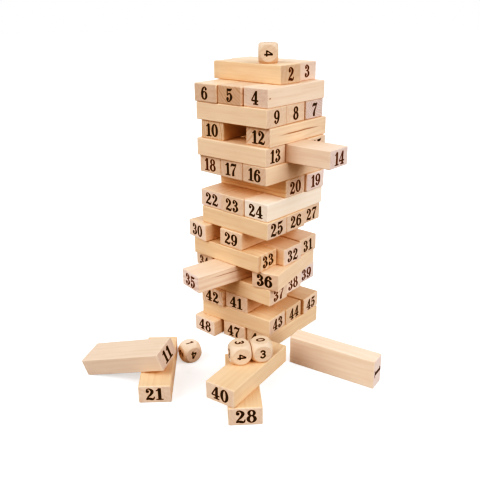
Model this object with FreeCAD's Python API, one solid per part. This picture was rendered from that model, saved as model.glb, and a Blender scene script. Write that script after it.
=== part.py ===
import FreeCAD, Part
import math
import os

os.makedirs("parts", exist_ok=True)

# A numbered tumbling tower, part way through a game, with its four number dice.
# 43 of the 48 blocks still stand in sixteen crossed layers. Five lie on the table.
# Millimetres. The origin is on the table, in the middle of the tower's foot.
# X-layers have their numbered ends facing +X, and Y-layers have theirs facing -Y.

# One block. All 48 are cut to this size.
BLOCK_LENGTH = 75.0
BLOCK_WIDTH = 25.0
BLOCK_THICKNESS = 15.0
BLOCK_EDGE_RADIUS = 0.8

# One die: a cube with its corners cut back by a ball.
DIE_SIZE = 16.0
DIE_BALL_RADIUS = 0.65 * DIE_SIZE

# Neighbours in a tidy layer lie this far apart, centre to centre.
BLOCK_PITCH = BLOCK_WIDTH + 0.2

# A layer lies this far above the one under it, so that a block slides out freely.
LAYER_GAP = 0.03
LAYER_PITCH = BLOCK_THICKNESS + LAYER_GAP

# What leans on something is left this far off it, so that the solids never cut.
LEAN_CLEARANCE = 0.02

# The tower, bottom layer first. A layer has the way its blocks run, how far it is
# turned (degrees, anticlockwise from above), then three places in order across it.
# A block has its number, how far it is pulled out at its numbered end, and how far
# it has drifted sideways. None is a place that a block has been taken from.
TOWER = [
    ("Y", 1.3, [(48, 9.0, -2.2), (47, -0.4, -0.7), (46, -3.6, -0.6)]),
    ("X", 5.0, [(43, 0.6, 0.6), (44, -0.7, 0.6), (45, -1.0, 2.1)]),
    ("Y", 3.5, [(42, 4.3, 1.3), (41, -0.4, 1.1), None]),
    ("X", 1.5, [(37, 3.1, 0.7), (38, -1.0, 0.9), (39, -4.9, 0.9)]),
    ("Y", 0.0, [(34, -1.5, -4.9), (35, 39.4, -5.3), (36, -0.3, 2.4)]),
    ("X", 0.4, [(33, -5.3, -3.6), (32, 2.1, -3.3), (31, -1.6, -1.6)]),
    ("Y", -0.4, [(30, 5.5, -6.0), (29, 2.5, 0.6), None]),
    ("X", -0.7, [(25, 2.6, -0.3), (26, 2.9, -0.3), (27, 0.3, -0.3)]),
    ("Y", -0.4, [(22, -0.6, 1.2), (23, 0.5, 1.1), (24, -0.6, 1.1)]),
    ("X", -0.4, [None, (20, 1.5, -0.3), (19, 3.2, 0.4)]),
    ("Y", -1.5, [(18, -1.4, 0.8), (17, -0.5, 0.9), (16, 0.4, 1.1)]),
    ("X", 0.8, [(13, -0.2, -0.8), (14, 41.7, 0.2), (15, 2.9, 0.2)]),
    ("Y", -0.2, [(10, -0.8, 2.8), None, (12, -3.7, 0.6)]),
    ("X", 1.4, [(9, -0.5, 0.2), (8, -1.5, 0.3), (7, -1.4, 0.8)]),
    ("Y", 0.2, [(6, 1.5, -1.2), (5, -0.1, -1.2), (4, -2.7, -1.2)]),
    ("X", -1.9, [None, (2, -6.6, 1.7), (3, -9.5, 1.8)]),
]

# Blocks that have been knocked askew, and the way each now points (degrees).
ASKEW = {48: -0.5, 34: -9.7, 35: -11.4, 36: 12.6, 30: -9.5, 10: 1.8}

# Blocks taken out and laid flat: number, centre x and y, height of the underside,
# and the direction of the numbered end (degrees anticlockwise from +X).
LAID_FLAT = [
    (21, -5.5, -121.5, 0.0, -46.5),
    (28, 64.0, -97.0, 0.0, -45.0),
    (40, 67.5, -94.5, BLOCK_THICKNESS, -82.0),
]

# Block 1 stands on its narrow side.
ON_ITS_SIDE = (1, 98.5, -22.5, 9.0)

# Block 11 leans on the long top edge of block 21, with one corner on the table.
LEANING = 11
LEANS_ON = 21
LEANING_TURN = 20.4
LOW_CORNER_X = -50.2
LOW_CORNER_Y = -159.4

# Dice: name, centre x and y, height of the underside, turn (degrees).
TOWER_HEIGHT = len(TOWER) * LAYER_PITCH - LAYER_GAP
DICE = [
    ("die_on_tower", 9.0, -1.3, TOWER_HEIGHT, -48.5),
    ("die_on_table", -4.9, -87.4, 0.0, -18.0),
    ("die_on_block_left", 61.5, -97.3, 2 * BLOCK_THICKNESS, -35.0),
    ("die_on_block_right", 71.0, -83.8, 2 * BLOCK_THICKNESS, -36.0),
]

X_AXIS = FreeCAD.Vector(1, 0, 0)
Z_AXIS = FreeCAD.Vector(0, 0, 1)


def block():
    """One block about its own centre. Its numbered end faces +X."""
    corner = FreeCAD.Vector(-BLOCK_LENGTH / 2, -BLOCK_WIDTH / 2, -BLOCK_THICKNESS / 2)
    solid = Part.makeBox(BLOCK_LENGTH, BLOCK_WIDTH, BLOCK_THICKNESS, corner)
    return solid.makeFillet(BLOCK_EDGE_RADIUS, solid.Edges)


def die():
    """One die about its own centre."""
    half = DIE_SIZE / 2
    cube = Part.makeBox(DIE_SIZE, DIE_SIZE, DIE_SIZE, FreeCAD.Vector(-half, -half, -half))
    ball = Part.makeSphere(DIE_BALL_RADIUS)
    return cube.common(ball)


def block_name(number):
    return "block_%02d" % number


def turned(degrees):
    return FreeCAD.Rotation(Z_AXIS, degrees)


def export(shape, name, centre, rotation):
    """Put a copy of the shape in its place and write it to its own file."""
    placed = shape.copy()
    placed.Placement = FreeCAD.Placement(centre, rotation)
    placed.exportStep("parts/%s.step" % name)


def place_layer(shape, level, run, layer_turn, places):
    """Lay one layer's blocks side by side."""
    height = level * LAYER_PITCH + BLOCK_THICKNESS / 2
    for slot, place in enumerate(places):
        if place is None:
            continue
        number, pulled, drifted = place
        turn = ASKEW.get(number, layer_turn)
        across = (slot - 1) * BLOCK_PITCH + drifted
        if run == "X":
            centre = FreeCAD.Vector(pulled, across, height)
            rotation = turned(turn)
        else:
            centre = FreeCAD.Vector(across, -pulled, height)
            rotation = turned(turn - 90)
        export(shape, block_name(number), centre, rotation)


def place_laid_flat(shape):
    for number, x, y, underside, turn in LAID_FLAT:
        centre = FreeCAD.Vector(x, y, underside + BLOCK_THICKNESS / 2)
        export(shape, block_name(number), centre, turned(turn))


def place_on_its_side(shape):
    """The block's own top faces away from the tower's front."""
    number, x, y, turn = ON_ITS_SIDE
    tip = FreeCAD.Rotation(X_AXIS, -90)
    centre = FreeCAD.Vector(x, y, BLOCK_WIDTH / 2)
    export(shape, block_name(number), centre, turned(turn).multiply(tip))


def place_leaning(shape):
    """Lean a block on another's edge.

    Its underside touches the rounded edge along its whole length there, and its lowest
    rounded corner touches the table, so it rests on a line and a point.
    """
    radius = BLOCK_EDGE_RADIUS
    rest = [place for place in LAID_FLAT if place[0] == LEANS_ON][0]
    along = math.radians(rest[4])
    edge = FreeCAD.Vector(math.cos(along), math.sin(along), 0)
    uphill = FreeCAD.Vector(-edge.y, edge.x, 0)

    # The rounded edge's own centre line, and the low corner's own centre.
    edge_centre = FreeCAD.Vector(rest[1], rest[2], BLOCK_THICKNESS - radius)
    edge_centre = edge_centre - uphill * (BLOCK_WIDTH / 2 - radius)
    corner_centre = FreeCAD.Vector(LOW_CORNER_X, LOW_CORNER_Y, radius + LEAN_CLEARANCE)

    # The underside passes under the corner's centre and over the edge's.
    run = (edge_centre - corner_centre).dot(uphill)
    rise = edge_centre.z - corner_centre.z
    apart = 2 * radius + LEAN_CLEARANCE
    slope = math.atan2(rise, run) + math.asin(apart / math.hypot(run, rise))

    tilt = FreeCAD.Rotation(edge, math.degrees(slope))
    rotation = tilt.multiply(turned(LEANING_TURN))
    corner_in_block = FreeCAD.Vector(
        radius - BLOCK_LENGTH / 2,
        radius - BLOCK_WIDTH / 2,
        radius - BLOCK_THICKNESS / 2,
    )
    centre = corner_centre - rotation.multVec(corner_in_block)
    export(shape, block_name(LEANING), centre, rotation)


def place_dice(shape):
    for name, x, y, underside, turn in DICE:
        centre = FreeCAD.Vector(x, y, underside + DIE_SIZE / 2)
        export(shape, name, centre, turned(turn))


one_block = block()
for level, (run, layer_turn, places) in enumerate(TOWER):
    place_layer(one_block, level, run, layer_turn, places)
place_laid_flat(one_block)
place_on_its_side(one_block)
place_leaning(one_block)
place_dice(die())
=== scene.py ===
import math
import random

import bpy
from mathutils import Matrix, Vector, noise
from mathutils.geometry import delaunay_2d_cdt


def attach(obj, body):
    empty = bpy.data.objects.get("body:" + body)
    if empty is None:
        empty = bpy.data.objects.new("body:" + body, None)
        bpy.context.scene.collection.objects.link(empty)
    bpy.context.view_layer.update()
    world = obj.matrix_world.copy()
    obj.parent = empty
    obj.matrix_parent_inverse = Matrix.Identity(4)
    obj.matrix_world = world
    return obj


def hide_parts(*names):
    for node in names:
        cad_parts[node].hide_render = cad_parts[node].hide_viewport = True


# The numbered tumbling tower: one piece of printed wood for each CAD block and die.

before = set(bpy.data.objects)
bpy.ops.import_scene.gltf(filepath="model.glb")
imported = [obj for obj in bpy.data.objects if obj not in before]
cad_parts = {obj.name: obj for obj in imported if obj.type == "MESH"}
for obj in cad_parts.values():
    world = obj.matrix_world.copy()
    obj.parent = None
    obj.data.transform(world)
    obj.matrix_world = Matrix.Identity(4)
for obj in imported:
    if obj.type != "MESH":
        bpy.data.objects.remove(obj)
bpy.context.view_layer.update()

MM = 0.001

# ---------------------------------------------------------------- camera

# Where the camera stands, in metres, and how it is turned, in degrees. Its lens and its
# sensor are in millimetres.
CAMERA_PLACE = (0.3386, -0.4023, 0.2879)
CAMERA_AZIMUTH = 42.08
CAMERA_ELEVATION = 21.07
CAMERA_ROLL = -0.60
CAMERA_LENS = 46.72
SENSOR_WIDTH = 36.0


def add_camera():
    """Azimuth goes round from the front towards +X, and elevation is how far it looks down."""
    azimuth = math.radians(CAMERA_AZIMUTH)
    elevation = math.radians(CAMERA_ELEVATION)
    back = Vector((math.sin(azimuth), -math.cos(azimuth), math.tan(elevation))).normalized()
    right = Vector((math.cos(azimuth), math.sin(azimuth), 0))
    level = Matrix((right, back.cross(right), back)).transposed().to_4x4()
    roll = Matrix.Rotation(math.radians(CAMERA_ROLL), 4, "Z")
    data = bpy.data.cameras.new("camera")
    data.sensor_width = SENSOR_WIDTH
    data.lens = CAMERA_LENS
    data.clip_start = 0.01
    camera = bpy.data.objects.new("camera", data)
    camera.matrix_world = Matrix.Translation(CAMERA_PLACE) @ level @ roll
    bpy.context.scene.collection.objects.link(camera)
    bpy.context.scene.camera = camera


# ---------------------------------------------------------------- node helpers


class Shader:
    """Adds nodes to one node tree. An input is a number, a colour or another node's output."""

    def __init__(self, tree):
        self.tree = tree

    def add(self, kind, inputs=None, **settings):
        made = self.tree.nodes.new("ShaderNode" + kind)
        for name, value in settings.items():
            setattr(made, name, value)
        for name, value in (inputs or {}).items():
            self.feed(made.inputs[name], value)
        return made

    def feed(self, socket, value):
        if isinstance(value, bpy.types.NodeSocket):
            self.tree.links.new(value, socket)
        else:
            socket.default_value = value

    def math(self, operation, *values):
        made = self.add("Math", operation=operation)
        for socket, value in zip(made.inputs, values):
            self.feed(socket, value)
        return made.outputs[0]

    def total(self, first, *others):
        """The sum of several values."""
        for value in others:
            first = self.math("ADD", first, value)
        return first

    def vector(self, operation, *values):
        made = self.add("VectorMath", operation=operation)
        for socket, value in zip(made.inputs, values):
            self.feed(socket, value)
        return made.outputs["Vector"]

    def mix(self, factor, first, second, blend="MIX"):
        """A colour mix. Its sockets go by place: factor 0, the two colours 6 and 7."""
        made = self.add("Mix", data_type="RGBA", blend_type=blend)
        self.feed(made.inputs[0], factor)
        self.feed(made.inputs[6], first)
        self.feed(made.inputs[7], second)
        return made.outputs[2]

    def steps(self, value, low, high, out_low=0.0, out_high=1.0):
        """A smooth step from out_low to out_high as value goes from low to high."""
        inputs = {"Value": value, "From Min": low, "From Max": high, "To Min": out_low, "To Max": out_high}
        return self.add("MapRange", inputs, interpolation_type="SMOOTHSTEP").outputs["Result"]

    def length(self, vector):
        return self.add("VectorMath", {0: vector}, operation="LENGTH").outputs["Value"]

    def noise(self, vector, scale, detail=2.0, roughness=0.5):
        inputs = {"Vector": vector, "Scale": scale, "Detail": detail, "Roughness": roughness}
        return self.add("TexNoise", inputs).outputs["Fac"]


def colour(red, green, blue):
    """A colour given as 0-255 screen values, as the linear numbers that shaders use."""
    linear = [((v / 255 + 0.055) / 1.055) ** 2.4 for v in (red, green, blue)]
    return (*linear, 1.0)


def grey(level):
    """A grey given as a linear number."""
    return (level, level, level, 1.0)


# ---------------------------------------------------------------- wood

KNOT_COLOUR = colour(140, 86, 48)
SPECK_COLOUR = colour(120, 74, 44)


def wood_figure():
    """A node group: solid wood whose fibres run along local X, cut by the piece's faces.

    Growth rings are cylinders about a pith that lies outside the piece, so long faces show
    straight streaks and end faces show arcs. Lengths inside are in millimetres.
    """
    tree = bpy.data.node_groups.new("wood_figure", "ShaderNodeTree")
    new_socket = tree.interface.new_socket
    for name, kind in (
        ("Shift", "NodeSocketVector"),
        ("Pith", "NodeSocketVector"),
        ("Spacing", "NodeSocketFloat"),
        ("Rings", "NodeSocketFloat"),
        ("Fibres", "NodeSocketFloat"),
        ("Light", "NodeSocketColor"),
        ("Dark", "NodeSocketColor"),
        ("End", "NodeSocketColor"),
        ("Knot", "NodeSocketVector"),
        ("Knot Shape", "NodeSocketVector"),
        ("Specks", "NodeSocketFloat"),
    ):
        new_socket(name=name, in_out="INPUT", socket_type=kind)
    for name, kind in (
        ("Color", "NodeSocketColor"),
        ("Roughness", "NodeSocketFloat"),
        ("Height", "NodeSocketFloat"),
    ):
        new_socket(name=name, in_out="OUTPUT", socket_type=kind)
    shader = Shader(tree)
    given = tree.nodes.new("NodeGroupInput").outputs
    result = tree.nodes.new("NodeGroupOutput")

    coordinates = shader.add("TexCoord").outputs
    place = shader.vector("MULTIPLY", coordinates["Object"], (1 / MM, 1 / MM, 1 / MM))
    within = shader.vector("ADD", place, given["Shift"])

    def streaks(along, across, detail, roughness=0.5):
        """Noise that changes this fast, per millimetre, along the fibres and across them."""
        stretched = shader.vector("MULTIPLY", within, (along, across, across))
        return shader.noise(stretched, 1.0, detail, roughness)

    def centred(value, swing):
        """A noise made to swing about 0."""
        return shader.math("MULTIPLY", shader.math("SUBTRACT", value, 0.5), swing)

    # How much a surface is cut across the fibres: 1 on the ends, 0 on the long faces.
    facing = shader.add("SeparateXYZ", {"Vector": coordinates["Normal"]}).outputs
    end = shader.steps(shader.math("ABSOLUTE", facing["X"]), 0.55, 0.9)

    # Growth rings: slow bends along the fibres, and small ones across them.
    bend = centred(streaks(0.012, 0.05, 2.0), 9.0)
    ripple = centred(streaks(0.05, 0.35, 2.0), 1.1)

    # A knot or streak is a slightly crooked ellipsoid, and pushes the rings aside.
    crooked = shader.add("CombineXYZ", {"Y": ripple, "Z": ripple}).outputs["Vector"]
    from_knot = shader.vector("ADD", shader.vector("SUBTRACT", place, given["Knot"]), crooked)
    in_radii = shader.vector("DIVIDE", from_knot, given["Knot Shape"])
    knot_radii = shader.length(in_radii)
    knot_push = shader.steps(knot_radii, 4.0, 0.5)

    from_pith = shader.vector("MULTIPLY", shader.vector("SUBTRACT", place, given["Pith"]), (0.0, 1.0, 1.0))
    radius = shader.total(shader.length(from_pith), bend, ripple, shader.math("MULTIPLY", knot_push, 2.0))
    years = shader.math("DIVIDE", radius, given["Spacing"])
    phase = shader.math("FRACT", years)

    # Each ring darkens slowly to its late wood and then ends at once, some rings more than others.
    late = shader.math("MULTIPLY", shader.steps(phase, 0.25, 0.86), shader.steps(phase, 1.0, 0.9))
    weather = shader.add("TexWhiteNoise", {"W": shader.math("FLOOR", years)}, noise_dimensions="1D")
    late = shader.math("MULTIPLY", late, shader.math("ADD", weather.outputs["Value"], 0.35))

    # Fibres: long thin streaks on the long faces, which end as fine dots on the ends.
    fine = centred(streaks(0.07, 2.6, 3.0, 0.65), 1.5)
    broad = centred(streaks(0.018, 0.42, 2.0), 2.2)
    blotch = centred(streaks(0.03, 0.06, 2.0), 1.3)
    pores = shader.steps(streaks(0.22, 4.5, 1.0), 0.66, 0.78)
    fibres = shader.math("MULTIPLY", shader.math("ADD", fine, broad), given["Fibres"])

    # How far the colour goes from the light tone to the dark one. Rings show more on the ends.
    rings = shader.math("MULTIPLY", late, given["Rings"])
    rings = shader.math("MULTIPLY", rings, shader.math("ADD", shader.math("MULTIPLY", end, 0.5), 0.8))
    patches = shader.math("MULTIPLY", blotch, 0.3)
    dots = shader.math("MULTIPLY", pores, 0.22)
    depth = shader.total(rings, fibres, patches, dots, 0.12)
    depth = shader.add("Clamp", {"Value": depth}).outputs[0]
    shade = shader.mix(depth, given["Light"], given["Dark"])
    shade = shader.mix(end, shade, shader.mix(1.0, shade, given["End"], "MULTIPLY"))

    heart = shader.steps(knot_radii, 1.2, 0.5)
    shade = shader.mix(shader.math("MULTIPLY", heart, 0.75), shade, KNOT_COLOUR)

    # Small resin specks.
    cells = shader.add("TexVoronoi", {"Vector": shader.vector("MULTIPLY", within, (0.09, 0.17, 0.17))})
    speck = shader.steps(cells.outputs["Distance"], 0.075, 0.03)
    speck = shader.math("MULTIPLY", speck, given["Specks"])
    shade = shader.mix(shader.math("MULTIPLY", speck, 0.7), shade, SPECK_COLOUR)

    # The ends are rougher, the late wood smoother and a little raised, and the pores sunk.
    rough = shader.total(
        0.56,
        shader.math("MULTIPLY", fine, 0.16),
        shader.math("MULTIPLY", end, 0.14),
        shader.math("MULTIPLY", rings, -0.12),
    )
    height = shader.total(
        shader.math("MULTIPLY", fine, 0.5),
        shader.math("MULTIPLY", pores, -0.6),
        shader.math("MULTIPLY", rings, 0.5),
    )

    tree.links.new(shade, result.inputs["Color"])
    tree.links.new(rough, result.inputs["Roughness"])
    tree.links.new(height, result.inputs["Height"])
    return tree


WOOD_FIGURE = wood_figure()

# Wood tones, as the screen colours of light wood between its rings and of the rings.
TONES = {
    "cream": (colour(250, 229, 208), colour(236, 206, 176)),
    "pale": (colour(243, 214, 190), colour(225, 187, 157)),
    "straw": (colour(238, 206, 177), colour(219, 179, 145)),
    "honey": (colour(232, 199, 166), colour(212, 170, 133)),
    "ash": (colour(228, 202, 180), colour(209, 178, 153)),
    "tan": (colour(229, 197, 172), colour(208, 170, 141)),
    "brown": (colour(218, 184, 156), colour(196, 156, 124)),
    "rose": (colour(235, 207, 184), colour(215, 179, 153)),
}
# The blocks of each tone. The others are straw.
TONE_OF = {
    "cream": (24,),
    "pale": (1, 4, 19),
    "honey": (2, 10, 20, 21, 25, 28, 33, 37, 40, 43, 44, 45, 46),
    "ash": (7, 11, 39),
    "tan": (5,),
    "brown": (41, 42),
    "rose": (14, 35),
}
# Sawn ends take dirt and light differently from planed faces: what they multiply the tone by. Block 20's
# bright end is partly painted light.
END_TINTS = {
    "plain": (0.9, 0.91, 0.95, 1.0),
    "cool": (0.94, 0.98, 1.12, 1.0),
    "bright": (1.02, 1.07, 1.22, 1.0),
    "dusky": (0.83, 0.83, 0.86, 1.0),
    "warm": (0.84, 0.8, 0.75, 1.0),
    "sanded": (1.14, 1.24, 1.36, 1.0),
}
# The blocks of each tint. The others are plain.
END_OF = {
    "cool": (1, 3, 7, 14, 19, 21, 22, 25, 28, 32, 37, 43),
    # Block 20's bright end is partly painted light: it is lighter to stand in for the light that block 14
    # and the layers above keep off it.
    "bright": (20, 30, 35, 38, 39, 40, 45, 48),
    "dusky": (2, 4, 6, 11, 12, 16, 17, 36),
    "warm": (5,),
    "sanded": (41, 42),
}

# Blocks whose figure stands out: which way the pith lies across the end (degrees from its
# right), the ring spacing in millimetres, and how strong the rings are.
STRONG_FIGURE = {
    5: (40, 2.6, 0.5),
    7: (50, 1.8, 0.9),
    10: (2, 2.2, 0.8),
    12: (130, 3.0, 0.55),
    20: (160, 2.0, 0.7),
    33: (175, 6.0, 0.6),
    35: (98, 4.2, 0.45),
    42: (20, 2.8, 0.6),
}
# A die's two tones, and those of the one die on the table: paler wood, and also painted light, lighter to
# stand in for the lamps' light that the dice and block to its right keep off it.
DIE_TONE = (colour(226, 199, 175), colour(211, 176, 146))
PALE_AND_LIT_DIE_TONE = (colour(243, 217, 194), colour(228, 194, 165))
PALE_AND_LIT_DIE = "die_on_table"
# A block's knot or dark streak: where it is from the block's middle, and its half sizes, in
# millimetres. The one that stands for none is too far off to show.
KNOTS = {
    4: ((35.0, 12.5, 0.0), (1.3, 1.5, 0.6)),
    12: ((-1.0, 12.5, 0.8), (27.0, 1.5, 0.7)),
    35: ((8.0, 12.5, 3.0), (15.0, 1.5, 0.5)),
}
NO_KNOT = ((0.0, 0.0, 1000.0), (1.0, 1.0, 1.0))
# Blocks with small resin specks.
SPECKLED = (9, 13, 17, 19, 23, 26, 44)

# The numbers are printed in one of two inks.
INK_DARK = colour(30, 14, 8)
INK_RED = colour(70, 28, 12)
RED_NUMBERS = (2, 3, 14, 18, 19, 20, 35, 37, 38, 39)


def finish_wood(name, inputs, bump):
    """A wood material with its own figure."""
    material = bpy.data.materials.new(name)
    material.use_nodes = True
    shader = Shader(material.node_tree)
    surface = material.node_tree.nodes["Principled BSDF"]
    figure = shader.add("Group", node_tree=WOOD_FIGURE)
    for key, value in inputs.items():
        figure.inputs[key].default_value = value
    height = figure.outputs["Height"]
    relief = shader.add("Bump", {"Height": height, "Strength": bump, "Distance": 0.12 * MM})
    shader.feed(surface.inputs["Base Color"], figure.outputs["Color"])
    shader.feed(surface.inputs["Roughness"], figure.outputs["Roughness"])
    shader.feed(surface.inputs["Normal"], relief.outputs["Normal"])
    surface.inputs["Specular IOR Level"].default_value = 0.32
    return material


def group_of(number, groups, usual):
    """The name of the group that lists a block's number."""
    return next((name for name, numbers in groups.items() if number in numbers), usual)


def block_wood(number):
    rng = random.Random(number)
    light, dark = TONES[group_of(number, TONE_OF, "straw")]
    way, spacing, rings = STRONG_FIGURE.get(number, (rng.uniform(0, 360), rng.uniform(2.4, 5.0), 0.16))
    distance = rng.uniform(30, 70)
    knot, knot_shape = KNOTS.get(number, NO_KNOT)
    inputs = {
        "Shift": [rng.uniform(-500, 500) for _ in range(3)],
        "Pith": (0.0, distance * math.cos(math.radians(way)), distance * math.sin(math.radians(way))),
        "Spacing": spacing,
        "Rings": rings,
        "Fibres": rng.uniform(0.22, 0.42),
        "Light": light,
        "Dark": dark,
        "End": END_TINTS[group_of(number, END_OF, "plain")],
        "Knot": knot,
        "Knot Shape": knot_shape,
        "Specks": 1.0 if number in SPECKLED else 0.0,
    }
    return finish_wood("block_wood_%02d" % number, inputs, 0.5)


def die_wood(name, seed):
    rng = random.Random(seed)
    # The die on the table takes the paler tones, which are partly painted light.
    light, dark = PALE_AND_LIT_DIE_TONE if name == PALE_AND_LIT_DIE else DIE_TONE
    inputs = {
        "Shift": [rng.uniform(-500, 500) for _ in range(3)],
        "Pith": (0.0, rng.uniform(-40, 40), rng.uniform(20, 50)),
        "Spacing": 2.6,
        "Rings": 0.22,
        "Fibres": 0.22,
        "Light": light,
        "Dark": dark,
        "End": (0.96, 0.95, 0.95, 1.0),
        "Knot": NO_KNOT[0],
        "Knot Shape": NO_KNOT[1],
        "Specks": 0.0,
    }
    return finish_wood("die_wood_" + name, inputs, 0.3)


def ink(name, tone):
    """Printing ink soaked into end grain: patchy, and thinner here and there."""
    material = bpy.data.materials.new(name)
    material.use_nodes = True
    shader = Shader(material.node_tree)
    surface = material.node_tree.nodes["Principled BSDF"]
    place = shader.add("TexCoord").outputs["Object"]
    patch = shader.noise(place, 0.9 / MM, 3.0, 0.6)
    thin = shader.steps(patch, 0.55, 0.85)
    faded = tuple(c * 3.0 + 0.01 for c in tone[:3]) + (1.0,)
    shader.feed(surface.inputs["Base Color"], shader.mix(thin, tone, faded))
    shader.feed(surface.inputs["Roughness"], shader.steps(patch, 0.3, 0.7, 0.45, 0.75))
    relief = shader.add("Bump", {"Height": patch, "Strength": 0.3, "Distance": 0.05 * MM})
    shader.feed(surface.inputs["Normal"], relief.outputs["Normal"])
    surface.inputs["Specular IOR Level"].default_value = 0.3
    return material


# ---------------------------------------------------------------- figures

# A figure is a list of parts in a space one figure high, with its foot at y = 0. A part is a
# list of closed outlines: a point is inside where they wind round it.


def pen(*points, smooth=6):
    """One stroke of a broad pen. Each point is x, y and the stroke's full width there."""
    line = []
    ends = [points[0], *points, points[-1]]
    for before, start, stop, after in zip(ends, ends[1:], ends[2:], ends[3:]):
        for step in range(smooth):
            t = step / smooth
            line.append([catmull_rom(t, *four) for four in zip(before, start, stop, after)])
    line.append(list(points[-1]))
    left = []
    right = []
    for i, (x, y, width) in enumerate(line):
        ahead = line[min(i + 1, len(line) - 1)]
        behind = line[max(i - 1, 0)]
        way = Vector((ahead[0] - behind[0], ahead[1] - behind[1])).normalized()
        side = Vector((-way.y, way.x)) * max(width, 0.01) / 2
        left.append(Vector((x, y)) + side)
        right.append(Vector((x, y)) - side)
    return [left[::-1] + right]


def catmull_rom(t, before, start, stop, after):
    """The value at t of a smooth curve from start to stop."""
    slope_in = (stop - before) / 2
    slope_out = (after - start) / 2
    turn = 2 * (start - stop) + slope_in + slope_out
    rise = 3 * (stop - start) - 2 * slope_in - slope_out
    return ((turn * t + rise) * t + slope_in) * t + start


def plate(*corners):
    """A straight-sided part."""
    return [[Vector(corner) for corner in corners]]


def oval(x, y, half_width, half_height, side, top, turns=28):
    """A ring that is `side` thick at its sides and `top` thick above and below."""
    outer = [(math.cos(a), math.sin(a)) for a in (math.tau * i / turns for i in range(turns))]
    inner = [(c * (half_width - side), s * (half_height - top)) for c, s in reversed(outer)]
    outer = [(c * half_width, s * half_height) for c, s in outer]
    return [[Vector((x + dx, y + dy)) for dx, dy in line] for line in (outer, inner)]


def dot(x, y, radius, turns=16):
    """A ball at the end of a hairline."""
    angles = [math.tau * i / turns for i in range(turns)]
    return [[Vector((x + radius * math.cos(a), y + radius * math.sin(a))) for a in angles]]


def half_turned(parts, width):
    """A figure's parts turned upside down, within that width."""
    return [[[Vector((width - p.x, 1 - p.y)) for p in line] for line in part] for part in parts]


SIX = [
    oval(0.335, 0.32, 0.325, 0.32, 0.19, 0.055),
    pen((0.105, 0.32, 0.19), (0.11, 0.58, 0.185), (0.20, 0.83, 0.13), (0.37, 0.965, 0.055),
        (0.50, 0.93, 0.05)),
    dot(0.515, 0.82, 0.095),
]
# Bold narrow book figures: their width, and their parts.
BOOK_FIGURES = {
    "0": (0.66, [oval(0.33, 0.5, 0.33, 0.5, 0.20, 0.05)]),
    "1": (
        0.52,
        [
            plate((0.19, 0.0), (0.39, 0.0), (0.39, 1.0), (0.24, 1.0), (0.19, 0.97)),
            plate((0.02, 0.0), (0.56, 0.0), (0.56, 0.05), (0.02, 0.05)),
            pen((0.04, 0.80, 0.05), (0.13, 0.83, 0.05), (0.25, 0.96, 0.08), smooth=4),
        ],
    ),
    "2": (
        0.67,
        [
            dot(0.155, 0.745, 0.105),
            pen((0.075, 0.78, 0.05), (0.13, 0.93, 0.05), (0.30, 0.965, 0.065), (0.50, 0.76, 0.19),
                (0.40, 0.50, 0.14), (0.16, 0.24, 0.06), (0.06, 0.03, 0.05)),
            pen((0.07, 0.07, 0.12), (0.20, 0.12, 0.15), (0.38, 0.085, 0.16), (0.53, 0.06, 0.12),
                (0.61, 0.14, 0.06), (0.64, 0.26, 0.04)),
        ],
    ),
    "3": (
        0.65,
        [
            dot(0.15, 0.79, 0.10),
            pen((0.07, 0.82, 0.05), (0.14, 0.95, 0.05), (0.30, 0.97, 0.06), (0.48, 0.76, 0.18),
                (0.36, 0.55, 0.07), (0.22, 0.53, 0.04)),
            pen((0.22, 0.53, 0.04), (0.38, 0.52, 0.07), (0.53, 0.28, 0.20), (0.32, 0.035, 0.06),
                (0.13, 0.05, 0.05), (0.06, 0.18, 0.05)),
            dot(0.15, 0.215, 0.11),
        ],
    ),
    "4": (
        0.70,
        [
            plate((0.35, 0.0), (0.54, 0.0), (0.54, 1.0), (0.44, 1.0), (0.35, 0.86)),
            plate((0.20, 0.0), (0.68, 0.0), (0.68, 0.05), (0.20, 0.05)),
            plate((0.41, 1.0), (0.02, 0.32), (0.02, 0.24), (0.08, 0.30), (0.46, 0.97)),
            plate((0.02, 0.24), (0.69, 0.24), (0.69, 0.31), (0.02, 0.31)),
        ],
    ),
    "5": (
        0.64,
        [
            pen((0.11, 0.95, 0.06), (0.24, 0.90, 0.15), (0.40, 0.90, 0.15), (0.52, 0.94, 0.08),
                (0.57, 1.0, 0.03)),
            plate((0.09, 0.97), (0.09, 0.46), (0.14, 0.48), (0.15, 0.97)),
            pen((0.11, 0.47, 0.05), (0.25, 0.60, 0.06), (0.42, 0.59, 0.10), (0.52, 0.33, 0.20),
                (0.32, 0.035, 0.06), (0.13, 0.05, 0.05), (0.06, 0.18, 0.05)),
            dot(0.15, 0.215, 0.11),
        ],
    ),
    "6": (0.66, SIX),
    "7": (
        0.65,
        [
            pen((0.05, 0.74, 0.05), (0.08, 0.86, 0.08), (0.20, 0.91, 0.17), (0.40, 0.90, 0.15),
                (0.54, 0.92, 0.10), (0.62, 1.0, 0.04)),
            pen((0.60, 0.97, 0.05), (0.47, 0.68, 0.06), (0.32, 0.42, 0.13), (0.26, 0.18, 0.19),
                (0.27, 0.0, 0.20)),
        ],
    ),
    "8": (
        0.66,
        [
            oval(0.33, 0.765, 0.265, 0.235, 0.155, 0.045),
            oval(0.33, 0.285, 0.325, 0.285, 0.185, 0.05),
        ],
    ),
    "9": (0.66, half_turned(SIX, 0.66)),
}
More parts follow.
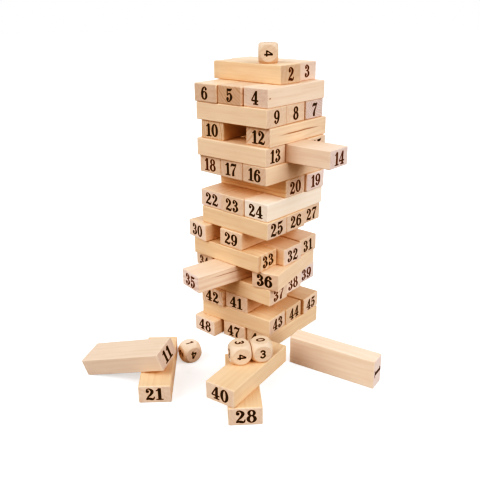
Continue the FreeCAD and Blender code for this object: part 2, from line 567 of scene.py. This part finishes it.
# Plain even-stroked figures on the dice.
PLAIN_FIGURES = {
    "0": (0.66, [oval(0.33, 0.5, 0.33, 0.5, 0.15, 0.14)]),
    "1": (
        0.44,
        [
            plate((0.24, 0.0), (0.40, 0.0), (0.40, 1.0), (0.28, 1.0), (0.24, 0.95)),
            pen((0.06, 0.76, 0.13), (0.19, 0.82, 0.13), (0.31, 0.95, 0.11), smooth=4),
        ],
    ),
    "2": (
        0.66,
        [
            pen((0.10, 0.72, 0.15), (0.16, 0.88, 0.15), (0.34, 0.925, 0.15), (0.53, 0.84, 0.15),
                (0.55, 0.64, 0.15), (0.38, 0.40, 0.15), (0.10, 0.07, 0.15)),
            plate((0.03, 0.0), (0.65, 0.0), (0.65, 0.14), (0.03, 0.14)),
        ],
    ),
    "3": (
        0.66,
        [
            pen((0.09, 0.78, 0.15), (0.20, 0.91, 0.15), (0.36, 0.925, 0.15), (0.53, 0.80, 0.15),
                (0.47, 0.59, 0.15), (0.26, 0.53, 0.13)),
            pen((0.26, 0.53, 0.13), (0.49, 0.47, 0.15), (0.56, 0.26, 0.15), (0.38, 0.08, 0.15),
                (0.19, 0.09, 0.15), (0.08, 0.24, 0.15)),
        ],
    ),
    "4": (
        0.70,
        [
            plate((0.42, 0.0), (0.57, 0.0), (0.57, 1.0), (0.42, 1.0)),
            plate((0.42, 1.0), (0.02, 0.34), (0.02, 0.22), (0.12, 0.30), (0.50, 0.94)),
            plate((0.02, 0.22), (0.70, 0.22), (0.70, 0.36), (0.02, 0.36)),
        ],
    ),
    "5": (
        0.66,
        [
            plate((0.12, 0.86), (0.58, 0.86), (0.58, 1.0), (0.12, 1.0)),
            plate((0.12, 1.0), (0.07, 0.46), (0.20, 0.46), (0.26, 1.0)),
            pen((0.12, 0.49, 0.14), (0.33, 0.61, 0.15), (0.54, 0.52, 0.15), (0.57, 0.28, 0.15),
                (0.40, 0.08, 0.15), (0.20, 0.08, 0.15), (0.08, 0.21, 0.15)),
        ],
    ),
}


def lettered(text, figures, height, gap, swell):
    """The parts of a number, centred on the origin, in millimetres, with its edges swollen."""
    parts = []
    x = 0.0
    for figure in text:
        width, shapes = figures[figure]
        for shape in shapes:
            parts.append([[Vector((p.x + x, p.y - 0.5)) for p in line] for line in shape])
        x += width + gap
    middle = Vector(((x - gap) / 2, 0))
    parts = [[[(p - middle) * height for p in line] for line in part] for part in parts]
    return [[swollen(line, swell) for line in part] for part in parts]


def swollen(line, amount):
    """A closed outline moved outwards, to the right of the way it runs."""
    moved = []
    for before, point, after in zip(line[-1:] + line[:-1], line, line[1:] + line[:1]):
        way = (after - before).normalized()
        moved.append(point + Vector((way.y, -way.x)) * amount)
    return moved


def placed(parts, turn, shift):
    """The parts turned by so many degrees and moved."""
    rotation = Matrix.Rotation(math.radians(turn), 2)
    return [[[rotation @ p + Vector(shift) for p in line] for line in part] for part in parts]


def winds_round(line, x, y):
    """How many times a closed outline goes round a point."""
    count = 0
    for a, b in zip(line, line[1:] + line[:1]):
        if (a.y <= y) != (b.y <= y):
            crossing = a.x + (y - a.y) * (b.x - a.x) / (b.y - a.y)
            if crossing > x:
                count += 1 if b.y > a.y else -1
    return count


# ---------------------------------------------------------------- meshes

INK_DEPTH = 0.18 * MM
# The order of a piece's materials.
WOOD_SLOT = 0
INK_SLOT = 1
# What the triangulation fills, and how near two points are one, in millimetres.
FILL_ALL = 0
SAME_POINT = 1e-4


class Solid:
    """A mesh being built: its points, and its faces with their material and smoothness."""

    def __init__(self):
        self.points = []
        self.faces = []
        self.materials = []
        self.smooth = []

    def point(self, place):
        self.points.append(Vector(place))
        return len(self.points) - 1

    def face(self, corners, material=WOOD_SLOT, smooth=False):
        self.faces.append(corners)
        self.materials.append(material)
        self.smooth.append(smooth)

    def mesh(self, name):
        made = bpy.data.meshes.new(name)
        made.from_pydata(self.points, [], self.faces)
        made.polygons.foreach_set("material_index", self.materials)
        made.polygons.foreach_set("use_smooth", self.smooth)
        made.validate()
        made.update()
        return made


def engrave(solid, rim, plane, parts):
    """Fills the flat face inside a rim of points, with the parts of a number sunk into it.

    plane goes from the face's own axes, x right, y up and z out of it, to the solid's.
    """
    flat = plane.inverted()
    spots = [(flat @ solid.points[i]).xy / MM for i in rim]
    edges = [(i, (i + 1) % len(rim)) for i in range(len(rim))]
    for part in parts:
        for line in part:
            first = len(spots)
            spots += line
            edges += [(first + i, first + (i + 1) % len(line)) for i in range(len(line))]
    cut, _, triangles, from_spots, _, _ = delaunay_2d_cdt(spots, edges, [], FILL_ALL, SAME_POINT)

    # The solid's points on the face and on the sunk floor, by their place in the triangulation.
    upper = {}
    for i, sources in enumerate(from_spots):
        upper.update({i: rim[s] for s in sources if s < len(rim)})
    lower = {}

    def corner(level, i, depth):
        """A point of the solid at that level, made when it is first asked for."""
        if i not in level:
            level[i] = solid.point(plane @ Vector((cut[i].x * MM, cut[i].y * MM, -depth)))
        return level[i]

    # The triangles inside the number.
    sunk = set()
    for n, triangle in enumerate(triangles):
        x = sum(cut[i].x for i in triangle) / len(triangle)
        y = sum(cut[i].y for i in triangle) / len(triangle)
        if any(sum(winds_round(line, x, y) for line in part) for part in parts):
            sunk.add(n)

    # The triangle that each edge belongs to, in the direction that it runs there.
    owner = {}
    for n, triangle in enumerate(triangles):
        for a, b in zip(triangle, triangle[1:] + triangle[:1]):
            owner[a, b] = n

    # The face round the number, its sunk floor, and the walls down to it.
    for n, triangle in enumerate(triangles):
        if n not in sunk:
            solid.face([corner(upper, i, 0.0) for i in triangle])
            continue
        solid.face([corner(lower, i, INK_DEPTH) for i in triangle], INK_SLOT)
        for a, b in zip(triangle, triangle[1:] + triangle[:1]):
            if owner.get((b, a)) not in sunk:
                top = [corner(upper, a, 0.0), corner(upper, b, 0.0)]
                bottom = [corner(lower, b, INK_DEPTH), corner(lower, a, INK_DEPTH)]
                solid.face(top + bottom, INK_SLOT)


# A block's rounded edges: their radius, and where they are divided, in degrees from the flat.
EDGE_RADIUS = 0.85 * MM
BEND_ANGLES = (15, 30, 45)
LATTICE_STEP = 2.6 * MM
# Handling has rubbed them down unevenly: how deep, and how many patches fit in a metre.
RUB_DEPTH = 0.10 * MM
RUB_PATCHES = 90


def lattice_lines(half):
    """Where a block's surface is divided along one axis: finely round both edges, evenly between."""
    flat = half - EDGE_RADIUS
    count = max(2, round(2 * flat / LATTICE_STEP))
    bends = [flat + EDGE_RADIUS * math.tan(math.radians(angle)) for angle in BEND_ANGLES]
    middle = [flat * (2 * i / count - 1) for i in range(count + 1)]
    return [-b for b in reversed(bends)] + middle + bends


def worn(place, halves, dents, shift):
    """A point of a sharp-edged block moved onto its rounded, handled edges."""
    inner = Vector([max(-h + EDGE_RADIUS, min(h - EDGE_RADIUS, p)) for p, h in zip(place, halves)])
    out = place - inner
    way = out.normalized()
    point = inner + way * EDGE_RADIUS
    on_flat = max(abs(c) for c in way) > 1 - 1e-9
    if on_flat:
        return point
    depth = RUB_DEPTH * max(0.0, 0.5 + noise.noise(point * RUB_PATCHES + shift))
    for spot, radius, dent in dents:
        near = 1 - (point - spot).length / radius
        if near > 0:
            depth += dent * near * near * (3 - 2 * near)
    # The wear fades out where the edge meets a flat face.
    roundness = 1 - max(abs(c) for c in way)
    return point - way * depth * min(1.0, roundness * 5)


def random_dents(halves, rng):
    """A few small knocks along the edges: where, how wide and how deep."""
    dents = []
    for _ in range(rng.randint(3, 7)):
        free = rng.randrange(3)
        spot = Vector([rng.choice((-h, h)) for h in halves])
        spot[free] = rng.uniform(-1, 1) * halves[free]
        dents.append((spot, rng.uniform(1.8, 3.6) * MM, rng.uniform(0.15, 0.42) * MM))
    return dents


def block_solid(halves, parts, seed):
    """A block about its own centre, with its number sunk into its +X end."""
    rng = random.Random(seed)
    dents = random_dents(halves, rng)
    shift = Vector([rng.uniform(-50, 50) for _ in range(3)])
    lines = [lattice_lines(half) for half in halves]
    last = [len(line) - 1 for line in lines]
    solid = Solid()
    index = {}

    def vertex(spot):
        """A point by its place in the lattice, shared where sides meet."""
        if spot not in index:
            place = Vector([line[i] for line, i in zip(lines, spot)])
            index[spot] = solid.point(worn(place, halves, dents, shift))
        return index[spot]

    # All six sides, but for the flat middle of the numbered end.
    bends = len(BEND_ANGLES)
    for axis in range(3):
        across, along = (axis + 1) % 3, (axis + 2) % 3
        for side in (0, last[axis]):
            for i in range(last[across]):
                for j in range(last[along]):
                    inside = bends <= i < last[across] - bends and bends <= j < last[along] - bends
                    if inside and axis == 0 and side:
                        continue
                    corners = []
                    for di, dj in ((0, 0), (1, 0), (1, 1), (0, 1)):
                        spot = [0, 0, 0]
                        spot[axis], spot[across], spot[along] = side, i + di, j + dj
                        corners.append(vertex(tuple(spot)))
                    solid.face(corners if side else corners[::-1], smooth=not inside)

    # Round the edge of that middle, anticlockwise from outside.
    low_y, high_y, low_z, high_z = bends, last[1] - bends, bends, last[2] - bends
    spots = [(i, low_z) for i in range(low_y, high_y)]
    spots += [(high_y, j) for j in range(low_z, high_z)]
    spots += [(i, high_z) for i in range(high_y, low_y, -1)]
    spots += [(low_y, j) for j in range(high_z, low_z, -1)]
    rim = [index[last[0], i, j] for i, j in spots]
    plane = Matrix(((0, 0, 1, halves[0]), (1, 0, 0, 0), (0, 1, 0, 0), (0, 0, 0, 1)))
    engrave(solid, rim, plane, parts)
    return solid


# How many steps go round a die's face.
DIE_TURNS = 72
# How the edge of its flat face is eased: how wide, and how far down.
DIE_RIM = 0.10 * MM
DIE_RIM_DROP = 0.02 * MM
# Where the ball between a flat face's edge and the cube's own edge is divided, as shares.
BALL_STEPS = (0.04, 0.2, 0.4, 0.6, 0.8, 1.0)


def die_solid(half, ball, faces):
    """A die about its own centre. faces has an axis frame and a number's parts for each side."""
    solid = Solid()
    shared = {}
    circle = math.sqrt(ball**2 - half**2)

    def vertex(place):
        """A point, shared where two sides of the die meet."""
        key = tuple(round(c / MM, 3) for c in place)
        if key not in shared:
            shared[key] = solid.point(place)
        return shared[key]

    for turn, parts in faces:
        rings = []
        for radius, z in ((circle - DIE_RIM, half), (circle, half - DIE_RIM_DROP)):
            angles = [math.tau * i / DIE_TURNS for i in range(DIE_TURNS)]
            ring = [turn @ Vector((radius * math.cos(a), radius * math.sin(a), z)) for a in angles]
            rings.append([vertex(p) for p in ring])
        for share in BALL_STEPS:
            ring = []
            for i in range(DIE_TURNS):
                angle = math.tau * i / DIE_TURNS
                edge = half / max(abs(math.cos(angle)), abs(math.sin(angle)))
                reach = circle + (edge - circle) * share
                spot = Vector((reach * math.cos(angle), reach * math.sin(angle), half))
                ring.append(turn @ (spot.normalized() * ball))
            rings.append([vertex(p) for p in ring])
        for inner, outer in zip(rings, rings[1:]):
            for i in range(DIE_TURNS):
                j = (i + 1) % DIE_TURNS
                solid.face([inner[i], outer[i], outer[j], inner[j]], smooth=True)
        plane = turn.to_4x4() @ Matrix.Translation((0, 0, half))
        engrave(solid, rings[0], plane, parts)
    return solid


# ---------------------------------------------------------------- pieces

# Sizes of the printed figures, in millimetres. A gap is a share of their height, and a swell
# is how far the ink has spread beyond the outline.
BLOCK_FIGURE_HEIGHT = 10.2
BLOCK_FIGURE_GAP = 0.09
BLOCK_SWELL = 0.2
BOLD_SWELL = 0.32
DIE_FIGURE_HEIGHT = 6.8
DIE_SWELL = 0.12

# Numbers printed larger or smaller than the others, by what factor. Those printed lower, by
# how many millimetres. Those printed bolder.
NUMBER_SIZES = {1: 1.18, 3: 0.95, 25: 1.08, 28: 1.05, 34: 0.9}
LOW_NUMBERS = {34: 2.0}
BOLD_NUMBERS = (7, 8, 36)

# How unevenly the numbers are printed: turned (degrees), and moved (millimetres).
PRINT_TURN = 2
PRINT_ASIDE = 0.7
PRINT_ABOVE = 0.4

# A piece's own top and front are the faces that look more this way than their opposites do.
# Block 1 lies on its side, so its top looks level, to the back.
UPWARD = Vector((0, 0.3, 1))
TO_THE_FRONT = Vector((1, -1, 0))


def flat_sides(node):
    """The outward ways of a CAD node's flat faces, the largest faces first."""
    sides = {}
    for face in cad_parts[node].data.polygons:
        key = face.normal.to_tuple(2)
        sides[key] = sides.get(key, Vector()) + face.normal * face.area
    largest = sorted(sides.values(), key=lambda way: -way.length)[:6]
    return [way.normalized() for way in largest]


def place_of(node, ahead, up):
    """A CAD node's pose, with local X ahead and Z up, and its half sizes along those."""
    ahead = ahead.normalized()
    across = up.cross(ahead).normalized()
    turn = Matrix((ahead, across, ahead.cross(across))).transposed()
    local = [turn.transposed() @ v.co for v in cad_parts[node].data.vertices]
    low = Vector([min(p[a] for p in local) for a in range(3)])
    high = Vector([max(p[a] for p in local) for a in range(3)])
    pose = Matrix.Translation(turn @ ((low + high) / 2)) @ turn.to_4x4()
    return pose, (high - low) / 2


def add_piece(name, solid, pose, materials, node):
    """Makes a piece that moves with its CAD node and takes its place."""
    mesh = solid.mesh(name)
    for material in materials:
        mesh.materials.append(material)
    piece = bpy.data.objects.new(name, mesh)
    piece.matrix_world = pose
    bpy.context.scene.collection.objects.link(piece)
    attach(piece, node)
    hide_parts(node)


def add_blocks():
    dark = ink("number_ink", INK_DARK)
    red = ink("number_ink_reddish", INK_RED)
    for node in sorted(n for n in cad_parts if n.startswith("block_")):
        number = int(node[len("block_"):])
        # The broad faces come first, and the ends last.
        sides = flat_sides(node)
        up = max(sides[0:2], key=UPWARD.dot)
        ahead = max(sides[4:6], key=TO_THE_FRONT.dot)
        pose, halves = place_of(node, ahead, up)
        rng = random.Random(number * 7)
        swell = BOLD_SWELL if number in BOLD_NUMBERS else BLOCK_SWELL
        height = BLOCK_FIGURE_HEIGHT * NUMBER_SIZES.get(number, 1.0)
        parts = lettered(str(number), BOOK_FIGURES, height, BLOCK_FIGURE_GAP, swell)
        askew = rng.uniform(-PRINT_TURN, PRINT_TURN)
        aside = rng.uniform(-PRINT_ASIDE, PRINT_ASIDE)
        above = rng.uniform(-PRINT_ABOVE, PRINT_ABOVE)
        parts = placed(parts, askew, (aside, above - LOW_NUMBERS.get(number, 0)))
        solid = block_solid(halves, parts, number)
        materials = [block_wood(number), red if number in RED_NUMBERS else dark]
        add_piece("numbered_block_%02d" % number, solid, pose, materials, node)


# The figures that show on each die, and how far each is turned. Its other faces take the
# figures from 0 to 5 that are left. A face is named by its own axis: x looks at the camera.
DIE_SHOWS = {
    "die_on_tower": {"x": ("4", -90)},
    "die_on_table": {"x": ("4", 180), "z": ("1", 0), "-y": ("2", 90)},
    "die_on_block_left": {"x": ("4", -90), "z": ("3", 0)},
    "die_on_block_right": {"x": ("3", 0), "z": ("0", 0)},
}
# Each face's right, up and outward ways on the die.
DIE_FACES = {
    "x": ((0, 1, 0), (0, 0, 1), (1, 0, 0)),
    "-x": ((0, -1, 0), (0, 0, 1), (-1, 0, 0)),
    "y": ((-1, 0, 0), (0, 0, 1), (0, 1, 0)),
    "-y": ((1, 0, 0), (0, 0, 1), (0, -1, 0)),
    "z": ((1, 0, 0), (0, 1, 0), (0, 0, 1)),
    "-z": ((1, 0, 0), (0, -1, 0), (0, 0, -1)),
}


def add_dice():
    black = ink("die_ink", colour(26, 20, 18))
    for seed, (node, shown) in enumerate(DIE_SHOWS.items()):
        up = Vector((0, 0, 1))
        level = [way for way in flat_sides(node) if abs(way.z) < 0.1]
        ahead = max(level, key=TO_THE_FRONT.dot)
        pose, halves = place_of(node, ahead, up)
        left = [figure for figure in "012345" if figure not in [f for f, _ in shown.values()]]
        faces = []
        for side, axes in DIE_FACES.items():
            figure, turn = shown[side] if side in shown else (left.pop(0), 0)
            parts = lettered(figure, PLAIN_FIGURES, DIE_FIGURE_HEIGHT, 0.0, DIE_SWELL)
            parts = placed(parts, turn, (0, 0))
            faces.append((Matrix(axes).transposed(), parts))
        ball = node_reach(node, pose)
        solid = die_solid(halves.x, ball, faces)
        add_piece("number_" + node, solid, pose, [die_wood(node, seed), black], node)


def node_reach(node, pose):
    """How far a CAD node's surface gets from its own middle."""
    middle = pose.translation
    return max((v.co - middle).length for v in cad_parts[node].data.vertices)


# ---------------------------------------------------------------- studio

# The floor's radius in metres, how many sides it has, and its own faint light, which keeps
# it as white as the room.
FLOOR_RADIUS = 6.0
FLOOR_TURNS = 96
FLOOR_GLOW = 0.4

# Each light: how far round from the front towards +X and how high it is, its strength, how
# wide it looks, and its tint. Angles are in degrees.
LIGHTS = {
    "right": (95, 31, 2.56, 50, (0.98, 1.0, 1.05)),
    "left": (-16, 36, 2.46, 50, (1.0, 1.0, 1.02)),
    "back": (222, 20, 1.0, 60, (1.0, 1.0, 1.0)),
}
# The room's own light from below, level with and above the object.
ROOM_BELOW = 0.2
ROOM_LEVEL = 0.3
ROOM_ABOVE = 0.24

# The picture's contrast, as pairs of a tone that goes in and the tone that comes out.
TONE_CURVE = ((0.06, 0.018), (0.2, 0.115), (0.4, 0.33), (0.7, 0.7))
# The warmth of its shadows, in the same way: more red, and less green and blue.
RED_CURVE = ((0.04, 0.05), (0.12, 0.13), (0.4, 0.4))
GREEN_CURVE = ((0.035, 0.032), (0.15, 0.125), (0.26, 0.235), (0.5, 0.5))
BLUE_CURVE = ((0.063, 0.03), (0.133, 0.085), (0.314, 0.3), (0.5, 0.5))


def add_floor():
    """A round pale floor, wide enough to reach the horizon from every side."""
    angles = [math.tau * i / FLOOR_TURNS for i in range(FLOOR_TURNS)]
    ring = [(FLOOR_RADIUS * math.cos(a), FLOOR_RADIUS * math.sin(a), 0.0) for a in angles]
    mesh = bpy.data.meshes.new("floor")
    mesh.from_pydata(ring, [], [list(range(FLOOR_TURNS))])
    material = bpy.data.materials.new("floor")
    material.use_nodes = True
    surface = material.node_tree.nodes["Principled BSDF"]
    surface.inputs["Base Color"].default_value = grey(0.9)
    surface.inputs["Roughness"].default_value = 0.85
    surface.inputs["Specular IOR Level"].default_value = 0.1
    surface.inputs["Emission Color"].default_value = grey(1.0)
    surface.inputs["Emission Strength"].default_value = FLOOR_GLOW
    mesh.materials.append(material)
    floor = bpy.data.objects.new("floor", mesh)
    bpy.context.scene.collection.objects.link(floor)
    # The white floor would light the undersides of the wood too strongly.
    floor.visible_diffuse = False


def add_soft_light(name, azimuth, elevation, strength, spread, tint):
    """Even light from a large far source."""
    around = math.radians(azimuth)
    above = math.radians(elevation)
    level = Vector((math.sin(around), -math.cos(around), 0.0))
    way = level * math.cos(above) + Vector((0.0, 0.0, math.sin(above)))
    data = bpy.data.lights.new(name, "SUN")
    data.energy = strength
    data.angle = math.radians(spread)
    data.color = tint
    light = bpy.data.objects.new(name, data)
    light.rotation_euler = way.to_track_quat("Z", "Y").to_euler()
    bpy.context.scene.collection.objects.link(light)


def add_room_light():
    """Faint light from all round. The camera itself sees plain white."""
    world = bpy.data.worlds.new("studio")
    world.use_nodes = True
    shader = Shader(world.node_tree)
    background = world.node_tree.nodes["Background"]
    up = shader.add("SeparateXYZ", {"Vector": shader.add("TexCoord").outputs["Generated"]}).outputs["Z"]
    glow = shader.add("ValToRGB", {"Fac": shader.steps(up, -1.0, 1.0)})
    stops = glow.color_ramp.elements
    stops[0].color = grey(ROOM_BELOW)
    stops[1].color = grey(ROOM_ABOVE)
    stops.new(0.5).color = grey(ROOM_LEVEL)
    seen = shader.add("LightPath").outputs["Is Camera Ray"]
    shader.feed(background.inputs["Color"], shader.mix(seen, glow.outputs["Color"], grey(1.0)))
    background.inputs["Strength"].default_value = 1.0
    bpy.context.scene.world = world


def set_picture_tones():
    """Gives the picture the curves above."""
    view = bpy.context.scene.view_settings
    view.view_transform = "Standard"
    view.use_curve_mapping = True
    for curve, spots in zip(view.curve_mapping.curves, (RED_CURVE, GREEN_CURVE, BLUE_CURVE, TONE_CURVE)):
        for spot in spots:
            curve.points.new(*spot)
    view.curve_mapping.update()


def add_studio():
    add_room_light()
    set_picture_tones()
    add_floor()
    for name, light in LIGHTS.items():
        add_soft_light(name, *light)


add_camera()
add_studio()
add_blocks()
add_dice()
